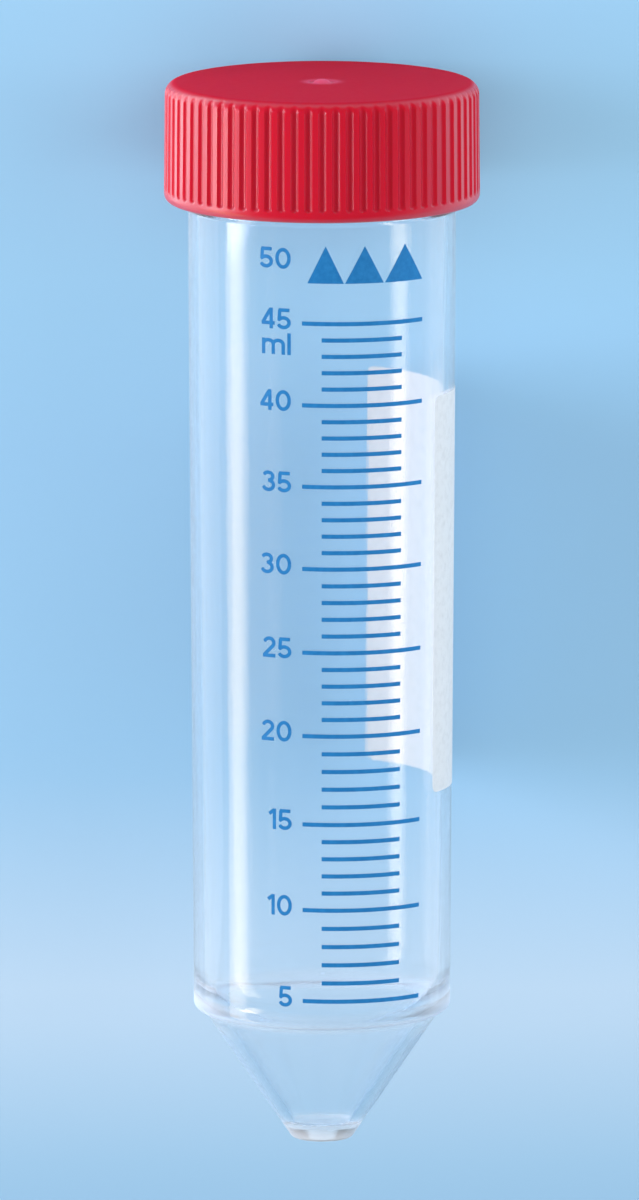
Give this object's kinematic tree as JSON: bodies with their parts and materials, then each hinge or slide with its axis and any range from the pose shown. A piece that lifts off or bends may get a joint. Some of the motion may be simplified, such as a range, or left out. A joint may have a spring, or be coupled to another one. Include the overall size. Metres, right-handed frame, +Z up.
{
  "type": "50 ml conical tube",
  "caption": "Clear cylindrical lab tube with a conical end, a printed volume scale and a writing field, closed by a fluted red screw cap; lying on its side.",
  "frame": {"origin": "on the surface that the tube lies on, under the middle of its bounding box", "axes": "+X from the tip to the cap, along the tube as it lies (its own axis rises 2 degrees towards the wider cap), +Z up through the printed scale, -Y towards the writing field"},
  "size_m": [0.1162, 0.034, 0.0343],
  "materials": {
    "clear_plastic": "clear, smooth moulded polypropylene",
    "red_plastic": "satin moulded polyethylene",
    "blue_ink": "screen-printed ink",
    "white_ink": "matt screen-printed ink that can be written on"
  },
  "bodies": {
    "tube": {"tube": "clear_plastic"},
    "cap": {"cap": "red_plastic"}
  },
  "joints": [
    {"name": "cap_lift", "type": "slide", "parent": "tube", "child": "cap", "axis": [0.9994, 0, 0.0353], "range_m": [0, 0.04]}
  ]
}
